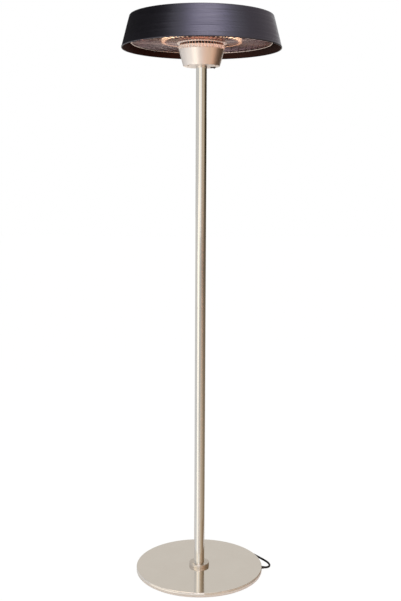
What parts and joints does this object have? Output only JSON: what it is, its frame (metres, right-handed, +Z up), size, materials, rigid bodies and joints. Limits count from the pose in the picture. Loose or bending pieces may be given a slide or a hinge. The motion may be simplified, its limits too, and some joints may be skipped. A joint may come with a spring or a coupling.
{
  "type": "infrared patio heater tower",
  "caption": "Free-standing electric infrared patio heater: round weighted base, tall thin pole, control cup with rocker switch, and lamp-shade hood over a ring heater, reflector and wire guard.",
  "frame": {"origin": "on the floor, on the pole's axis", "axes": "+Z up along the pole, front towards -Y, cord leaves the base towards +X"},
  "size_m": [0.5824, 0.8904, 2.1024],
  "materials": {
    "base_steel": "satin polished stainless steel",
    "ballast_iron": "cast, painted dark",
    "black_rubber": "moulded, matt",
    "zinc_steel": "zinc plated",
    "pole_steel": "polished stainless steel tube",
    "cord_rubber": "round cord sheath, smooth",
    "cup_steel": "satin polished stainless steel",
    "black_plastic": "moulded, fine texture",
    "vent_metal": "polished casting",
    "screw_steel": "stainless steel screws",
    "white_plastic": "moulded nylon",
    "reflector_metal": "bright polished",
    "heater_glass": "gold coated quartz tube",
    "ceramic": "glazed ceramic",
    "spring_steel": "spring steel strip",
    "lead_jacket": "silicone and glass sleeve",
    "guard_chrome": "chrome plated wire",
    "black_steel": "black oxide",
    "hood_paint": "satin black powder coat",
    "brass_pins": "brass pins",
    "plug_rubber": "moulded on the cord"
  },
  "bodies": {
    "stand": {"base_cover": "base_steel", "base_weight": "ballast_iron", "rubber_feet": "black_rubber", "base_bolts": "zinc_steel", "cable_straps": "zinc_steel", "pole_lower": "pole_steel", "pole_upper": "pole_steel", "pole_coupler": "zinc_steel", "mains_cable_inner": "cord_rubber", "strain_relief": "black_rubber", "control_housing": "cup_steel", "switch_body": "black_plastic", "vent_ring": "vent_metal", "chassis_plate": "zinc_steel", "housing_pillars": "zinc_steel", "housing_screws": "screw_steel", "terminal_block": "white_plastic", "tip_over_switch": "black_plastic", "reflector": "reflector_metal", "heating_ring": "heater_glass", "heater_ceramics": "ceramic", "heater_clips": "spring_steel", "heater_leads": "lead_jacket", "thermal_cutout": "black_plastic", "wire_guard": "guard_chrome", "guard_clips": "spring_steel", "reflector_spacers": "zinc_steel", "reflector_screws": "screw_steel", "head_carrier": "zinc_steel", "hub_grub_screw": "black_steel", "hood_shell": "hood_paint", "hood_posts": "zinc_steel", "hood_screws": "screw_steel", "power_cord": "cord_rubber", "cord_hank": "cord_rubber", "hank_tie": "black_plastic", "plug_pins": "brass_pins", "plug_body": "plug_rubber"},
    "rocker": {"switch_rocker": "black_plastic"}
  },
  "joints": [
    {"name": "rocker_pivot", "type": "hinge", "parent": "stand", "child": "rocker", "pos_m": [0.042, 0.022, 1.9256], "axis": [0, 1, 0], "range_deg": [-18, 0]}
  ]
}
